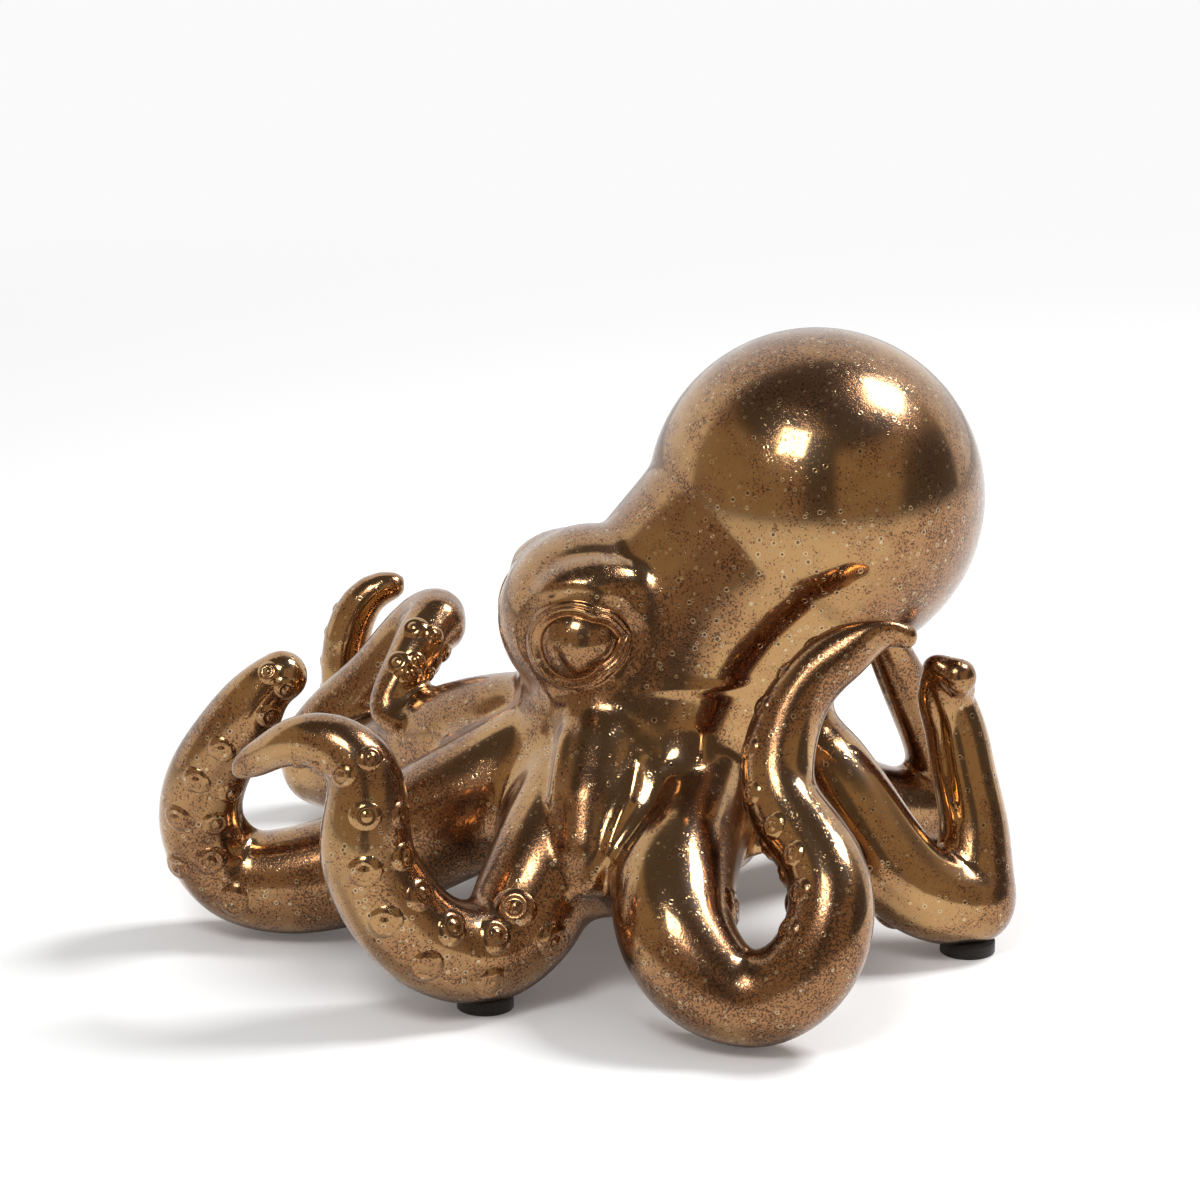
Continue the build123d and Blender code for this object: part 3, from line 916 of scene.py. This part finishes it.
    def press_folds(self, mesh: Mesh) -> None:
        """Press every fold into the smoothed skin."""
        for fold in self.folds:
            points, normals, _ = self.read(mesh)
            mesh.vertices.foreach_set("co", fold.press(points, normals).ravel())
            mesh.update()

    def carve_eyes(self, mesh: Mesh) -> None:
        """Refine the skin at the eyes and press eyeballs and lids into it.

        Args:
            mesh: The smoothed skin.
        """
        form = bmesh.new()
        form.from_mesh(mesh)
        for eye in self.eyes:
            inverse = eye.frame().inverted()
            reach = eye.refined_mm * MM
            close = {vert for vert in form.verts
                     if (place := inverse @ vert.co).length < reach and place.z > 0}
            edges = [edge for edge in form.edges if edge.verts[0] in close and edge.verts[1] in close]
            bmesh.ops.subdivide_edges(form, edges=edges, cuts=3, use_grid_fill=True, smooth=0.0)
        form.to_mesh(mesh)
        form.free()
        points, _, _ = self.read(mesh)
        weight = np.zeros(len(points))
        for eye in self.eyes:
            away = np.linalg.norm(points - np.array(eye.frame().translation), axis=1) / MM
            weight = np.maximum(weight, eye.fade(away))
        self.relax(mesh, weight, self.eye_rounds, 0.0)
        points, _, _ = self.read(mesh)
        for eye in self.eyes:
            points = eye.press(points)
        mesh.vertices.foreach_set("co", points.ravel())
        mesh.update()

    def shade_creases(self, mesh: Mesh) -> None:
        """Store how sharply hollow each point is, for the painted shade and inter-reflection glow in
        the creases.

        Args:
            mesh: Mesh that receives the crease attribute.
        """
        points, normals, ends = self.read(mesh)
        lengths = np.linalg.norm(points[ends[:, 0]] - points[ends[:, 1]], axis=1)
        count = len(points)
        total = np.bincount(ends[:, 0], lengths, count) + np.bincount(ends[:, 1], lengths, count)
        degree = np.maximum(np.bincount(ends.ravel(), minlength=count), 1)
        size = total / degree / MM
        rise = (self.pull(points, ends) * normals).sum(1) / MM
        bend = 2 * rise / np.maximum(size, self.least_edge_mm) ** 2
        for _ in range(self.painted_shade_rounds):
            mean = (np.bincount(ends[:, 0], bend[ends[:, 1]], count)
                    + np.bincount(ends[:, 1], bend[ends[:, 0]], count)) / degree
            bend = (bend + mean) / 2
        # the crease value sets where the glaze paints shade and inter-reflection glow
        value = np.clip((bend - self.painted_shade_bend) / self.painted_shade_span, 0, 1)
        layer = mesh.attributes.new("crease", "FLOAT", "POINT")
        layer.data.foreach_set("value", value.astype(np.float32))

    def build(self, material: Material) -> None:
        """Make the skin and share it out over one piece for each CAD node.

        Args:
            material: The glaze.
        """
        lump = self.weld(self.gather())
        log.info("welded")
        self.soften(lump.data)
        self.press_folds(lump.data)
        self.carve_eyes(lump.data)
        self.shade_creases(lump.data)
        self.surface = lump.data.copy()
        log.info("sculpted")
        self.share_out(lump, material)

    def owners(self, mesh: Mesh) -> tuple[list[str], np.ndarray]:
        """CAD node that each face of the skin stands for.

        Args:
            mesh: The finished skin.

        Returns:
            Names of the nodes, and for each face the number of its node.
        """
        names = list(self.nodes)
        middles = np.zeros(len(mesh.polygons) * 3)
        mesh.polygons.foreach_get("center", middles)
        middles = middles.reshape(-1, 3)
        best = np.full(len(middles), np.inf)
        owner = np.zeros(len(middles), int)
        margin = self.node_margin_mm * MM
        for number, name in enumerate(names):
            form = node_mesh(name)
            tree = BVHTree.FromBMesh(form)
            form.free()
            low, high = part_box(name)
            close = ((middles > np.array(low) - margin) & (middles < np.array(high) + margin)).all(1)
            for index in np.nonzero(close)[0]:
                distance = tree.find_nearest(Vector(middles[index]))[3]
                if distance is not None and distance < best[index]:
                    best[index] = distance
                    owner[index] = number
        for eye in self.eyes:
            turned = np.array(eye.frame())
            local = (middles - turned[:3, 3]) @ turned[:3, :3] / MM
            edge = eye.depths(local)
            close = np.linalg.norm(local, axis=1) < self.eye_piece_mm
            close &= local[:, 2] > self.eye_piece_base_mm
            names += ["eyeball_" + eye.side, "eyelid_" + eye.side]
            owner[close & (edge < 0)] = len(names) - 2
            owner[close & (edge >= 0) & (edge < eye.lid_width_mm)] = len(names) - 1
        return names, owner

    def share_out(self, lump: bpy.types.Object, material: Material) -> None:
        """Cut the skin into one piece for each node, with the shading running on over the cuts.

        Args:
            lump: The finished skin.
            material: The glaze.
        """
        mesh = lump.data
        names, owner = self.owners(mesh)
        _, normals, _ = self.read(mesh)
        layer = mesh.attributes.new("skin_normal", "FLOAT_VECTOR", "POINT")
        layer.data.foreach_set("vector", normals.ravel().astype(np.float32))
        mesh.materials.clear()
        for name in names:
            mesh.materials.append(bpy.data.materials.new("part_" + name))
        mesh.polygons.foreach_set("material_index", owner.astype(np.int32))
        for other in bpy.context.view_layer.objects:
            other.select_set(False)
        lump.select_set(True)
        bpy.context.view_layer.objects.active = lump
        bpy.ops.object.mode_set(mode="EDIT")
        bpy.ops.mesh.select_all(action="SELECT")
        bpy.ops.mesh.separate(type="MATERIAL")
        bpy.ops.object.mode_set(mode="OBJECT")
        for part in [o for o in bpy.context.selected_objects if o.type == "MESH"]:
            shape = part.data
            used = shape.materials[shape.polygons[0].material_index].name
            name = used.removeprefix("part_")
            shape.polygons.foreach_set("material_index", np.zeros(len(shape.polygons), np.int32))
            flow = np.zeros(len(shape.vertices) * 3, np.float32)
            shape.attributes["skin_normal"].data.foreach_get("vector", flow)
            bpy.data.objects.remove(part)
            finish_piece(shape, name + "_skin", material, Slot.GLAZE, name)
            shape.normals_split_custom_set_from_vertices(flow.reshape(-1, 3).tolist())
            shape.attributes.remove(shape.attributes["skin_normal"])
        for name in names:
            bpy.data.materials.remove(bpy.data.materials["part_" + name])


@dataclass
class Suckers:
    """Low clay buttons in a double row along each arm, with a few more at the tips of two arms."""

    corners: int = 16
    sample_step: int = 7
    profile_shares: tuple[tuple[float, float], ...] = (
        (0.0, 0.34), (0.22, 0.31), (0.40, 0.22), (0.54, 0.15), (0.68, 0.19), (0.84, 0.19),
        (1.00, 0.10), (1.16, 0.0), (1.36, -0.18), (1.52, -0.45))
    tip_buttons_mm: dict[Arm, tuple[tuple[float, float, float, float], ...]] = field(
        default_factory=lambda: {
            Arm.LEFT_1: ((-6.3, -85.1, 56.9, 2.4), (-5.9, -81.4, 62.9, 2.1), (-7.5, -85.1, 67.0, 2.0)),
            Arm.RIGHT_1: ((-49.8, -42.4, 62.4, 2.5), (-45.0, -47.4, 55.5, 2.5),
                          (-42.8, -44.8, 53.0, 2.4))})

    def button(self, seat: Vector, look: Vector, radius: float) -> Form:
        """One button, turned from its profile.

        Args:
            seat: Point on the skin.
            look: Outward direction.
            radius: Radius of the rim.

        Returns:
            A new bmesh that the caller frees.
        """
        form = bmesh.new()
        verts = [form.verts.new((radius * out, 0, radius * up)) for out, up in self.profile_shares]
        edges = [form.edges.new(pair) for pair in zip(verts, verts[1:])]
        bmesh.ops.spin(form, geom=verts + edges, cent=(0, 0, 0), axis=(0, 0, 1),
                       angle=2 * math.pi, steps=self.corners, use_merge=True)
        bmesh.ops.remove_doubles(form, verts=form.verts, dist=SEAM_MM * MM)
        bmesh.ops.recalc_face_normals(form, faces=form.faces)
        turn = look.to_track_quat("Z", "Y").to_matrix().to_4x4()
        bmesh.ops.transform(form, matrix=Matrix.Translation(seat) @ turn, verts=form.verts)
        return form

    def build(self, surface: Mesh, material: Material) -> None:
        """Seat a button on the skin for each CAD button.

        Args:
            surface: The whole skin.
            material: The glaze.
        """
        skin = bmesh.new()
        skin.from_mesh(surface)
        tree = BVHTree.FromBMesh(skin)
        skin.free()
        for arm in Arm:
            name = "suckers_" + arm.value
            form = node_mesh(name)
            row = bmesh.new()
            for island in islands(form):
                points = np.array([vert.co[:] for vert in island])
                apart = points[:, None, :] - points[None, ::self.sample_step, :]
                radius = float(np.linalg.norm(apart, axis=2).max()) / 2
                seat, look, _, _ = tree.find_nearest(Vector((points.max(0) + points.min(0)) / 2))
                join(row, self.button(seat, look, radius))
            for x_mm, y_mm, z_mm, radius_mm in self.tip_buttons_mm.get(arm, ()):
                seat, look, _, _ = tree.find_nearest(at(x_mm, y_mm, z_mm))
                join(row, self.button(seat, look, radius_mm * MM))
            form.free()
            mesh = to_mesh(row, name + "_buttons")
            finish_piece(mesh, name + "_buttons", material, Slot.GLAZE, name)


@dataclass
class Pads:
    """Round stick-on pads of pressed felt under the arms that carry the figurine."""

    edge_mm: float = 0.35
    edge_steps: int = 3
    corners: int = 48
    arms: tuple[Arm, ...] = (Arm.LEFT_2, Arm.LEFT_4, Arm.RIGHT_4, Arm.RIGHT_3, Arm.RIGHT_2)

    def build(self, material: Material) -> None:
        """Make a pad with a soft edge in each CAD pad's place.

        Args:
            material: The felt.
        """
        for arm in self.arms:
            name = "felt_pad_" + arm.value
            low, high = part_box(name)
            form = bmesh.new()
            radius = (high.x - low.x) / 2
            bmesh.ops.create_cone(form, cap_ends=True, segments=self.corners, radius1=radius,
                                  radius2=radius, depth=high.z - low.z)
            rim = [edge for edge in form.edges
                   if math.isclose(edge.verts[0].co.z, edge.verts[1].co.z, abs_tol=WELD_MM * MM)]
            bmesh.ops.bevel(form, geom=rim, offset=self.edge_mm * MM, segments=self.edge_steps,
                            profile=0.5, affect="EDGES", material=-1)
            bmesh.ops.translate(form, vec=(low + high) / 2, verts=form.verts)
            mesh = to_mesh(form, name + "_disc")
            finish_piece(mesh, name + "_disc", material, Slot.FELT, name)


@dataclass
class Studio:
    """Pale floor and backdrop, two soft lamps, and a dim room that the glaze mirrors."""

    floor_colour: str = "EDEDED"
    room_colour: str = "665D54"
    wall_colour: str = "B09E88"
    sky_colour: str = "B4B4B4"
    sky_white: float = 0.95
    floor_white: float = 0.955
    floor_lift: float = 0.08
    floor_fade: tuple[float, float] = (0.25, 0.9)
    floor_size: float = 8.0
    azimuth: float = 75.5
    elevation: float = 16.0
    distance: float = 1.1
    lens: float = 141.9
    sensor: float = 36.0
    aim_right_mm: float = -9.3
    aim_up_mm: float = 76.74
    room_skew: float = 0.13
    room_edge: tuple[float, float] = (-0.30, -0.18)
    wall_top: tuple[float, float] = (0.76, 0.62)
    wall_gap: tuple[float, float] = (0.12, 0.26)
    wall_end: tuple[float, float] = (0.9, 0.78)
    lamp_size: float = 0.4
    lamp_aim_mm: tuple[float, float, float] = (0.0, 43.0, 105.0)
    key_watts: float = 14.0
    key_way: tuple[float, float, float] = (0.564, 0.825, 0.051)
    key_distance: float = 1.2
    fill_watts: float = 6.0
    fill_way: tuple[float, float, float] = (-0.283, 0.565, 0.775)
    fill_distance: float = 1.3

    def axes(self) -> tuple[Vector, Vector, Vector]:
        """Directions to the camera's right, up and back.

        Returns:
            Three directions of length one.
        """
        turn, lift = math.radians(self.azimuth), math.radians(self.elevation)
        right = Vector((math.cos(turn), math.sin(turn), 0))
        back = Vector((math.sin(turn) * math.cos(lift), -math.cos(turn) * math.cos(lift),
                       math.sin(lift)))
        return right, back.cross(right), back

    def camera(self) -> None:
        """Set the camera at the photograph's angle."""
        right, up, back = self.axes()
        aim = at(0, 0, 0) + right * self.aim_right_mm * MM + up * self.aim_up_mm * MM
        data = bpy.data.cameras.new("camera")
        data.lens = self.lens
        data.sensor_width = self.sensor
        data.clip_start = 0.05
        data.clip_end = 50
        eye = set_out("camera", data)
        turn = Matrix((right, up, back)).transposed().to_4x4()
        eye.matrix_world = Matrix.Translation(aim + back * self.distance) @ turn
        bpy.context.scene.camera = eye

    def floor(self) -> None:
        """Lay the pale floor, which keeps the shadow and stays white to the camera further out."""
        form = bmesh.new()
        bmesh.ops.create_grid(form, x_segments=1, y_segments=1, size=self.floor_size / 2)
        mesh = to_mesh(form, "floor")
        floor = set_out("floor", mesh)
        material, tree = new_material("pale_paper_sweep")
        place = add(tree, "ShaderNodeTexCoord").outputs["Object"]
        away = add(tree, "ShaderNodeVectorMath", {"operation": "LENGTH"}, {0: place}).outputs["Value"]
        paper = add(tree, "ShaderNodeBsdfDiffuse", inputs={"Color": linear(self.floor_colour)})
        lift = add(tree, "ShaderNodeEmission", inputs={
            "Color": (1, 1, 1, 1), "Strength": self.floor_lift})
        near = add(tree, "ShaderNodeAddShader", inputs=(paper, lift))
        white = add(tree, "ShaderNodeEmission", inputs={
            "Color": (1, 1, 1, 1), "Strength": self.floor_white})
        far = add(tree, RANGE, SMOOTH, (away, *self.floor_fade))
        seen = add(tree, "ShaderNodeMixShader", inputs=(far, near, white))
        path = add(tree, "ShaderNodeLightPath").outputs["Is Camera Ray"]
        both = add(tree, "ShaderNodeMixShader", inputs=(path, paper, seen))
        add(tree, "ShaderNodeOutputMaterial", inputs={"Surface": both.outputs[0]})
        mesh.materials.append(material)

    def backdrop(self) -> None:
        """Colour the world: white to the camera, grey as light and a room in the reflections."""
        right, _, back = self.axes()
        world = bpy.data.worlds.new("studio")
        bpy.context.scene.world = world
        world.use_nodes = True
        tree = world.node_tree
        tree.nodes.clear()
        way = add(tree, "ShaderNodeTexCoord").outputs["Generated"]
        forward, sideways = (
            add(tree, "ShaderNodeVectorMath", {"operation": "DOT_PRODUCT"}, {
                0: way, 1: course}).outputs["Value"]
            for course in (back + right * self.room_skew, right))
        height = add(tree, "ShaderNodeSeparateXYZ", inputs={"Vector": way}).outputs["Z"]
        off = add(tree, MATH, UNSIGNED, (sideways,))
        gap = add(tree, RANGE, SMOOTH, (off, *self.wall_gap))
        side = add(tree, RANGE, SMOOTH, (sideways, *self.wall_end))
        beside = add(tree, MATH, TIMES, (gap, side))
        under = add(tree, RANGE, SMOOTH, (height, *self.wall_top))
        wall = add(tree, MATH, TIMES, (under, beside))
        ahead = add(tree, RANGE, SMOOTH, (forward, *self.room_edge))
        path = add(tree, "ShaderNodeLightPath")
        glossy = add(tree, MATH, GREATER, (
            path.outputs["Is Glossy Ray"], path.outputs["Is Transmission Ray"]))
        room = add(tree, MIX, COLOURS, {
            MIX_SHARE: wall, MIX_FIRST: linear(self.room_colour),
            MIX_SECOND: linear(self.wall_colour)}).outputs[MIX_RESULT]
        mirrored = add(tree, MIX, COLOURS, {
            MIX_SHARE: ahead, MIX_FIRST: (1, 1, 1, 1), MIX_SECOND: room}).outputs[MIX_RESULT]
        soft = add(tree, MIX, COLOURS, {
            MIX_SHARE: glossy, MIX_FIRST: linear(self.sky_colour),
            MIX_SECOND: mirrored}).outputs[MIX_RESULT]
        white = (self.sky_white, self.sky_white, self.sky_white, 1)
        shown = add(tree, MIX, COLOURS, {
            MIX_SHARE: path.outputs["Is Camera Ray"], MIX_FIRST: soft,
            MIX_SECOND: white}).outputs[MIX_RESULT]
        glow = add(tree, "ShaderNodeBackground", inputs={"Color": shown, "Strength": 1.0})
        add(tree, "ShaderNodeOutputWorld", inputs={"Surface": glow.outputs[0]})

    def lamp(self, name: str, way: tuple[float, float, float], watts: float,
             distance: float) -> None:
        """Hang a square soft box that looks at the mantle.

        Args:
            name: Name of the lamp.
            way: Shares of right, up and back that lead from the mantle to the lamp.
            watts: Power.
            distance: Distance from the mantle in metres.
        """
        right, up, back = self.axes()
        mantle = at(*self.lamp_aim_mm)
        course = (right * way[0] + up * way[1] + back * way[2]).normalized()
        data = bpy.data.lights.new(name, "AREA")
        data.shape = "SQUARE"
        data.size = self.lamp_size
        data.energy = watts
        lamp = set_out(name, data)
        lamp.matrix_world = Matrix.Translation(mantle + course * distance) @ (
            course.to_track_quat("Z", "Y").to_matrix().to_4x4())

    def build(self) -> None:
        """Set up camera, floor, world and lamps."""
        self.camera()
        self.floor()
        self.backdrop()
        self.lamp("key_soft_box", self.key_way, self.key_watts, self.key_distance)
        self.lamp("fill_soft_box", self.fill_way, self.fill_watts, self.fill_distance)
        bpy.context.scene.view_settings.view_transform = "Standard"


def main() -> None:
    """Build every sub-assembly in order."""
    logging.basicConfig(level=logging.INFO, format="%(asctime)s %(name)s: %(message)s")
    glaze = LustreGlaze().make()
    felt = PressedFelt().make()
    skin = ClaySkin()
    skin.build(glaze)
    Suckers().build(skin.surface, glaze)
    Pads().build(felt)
    Studio().build()


if __name__ == "__main__":
    main()
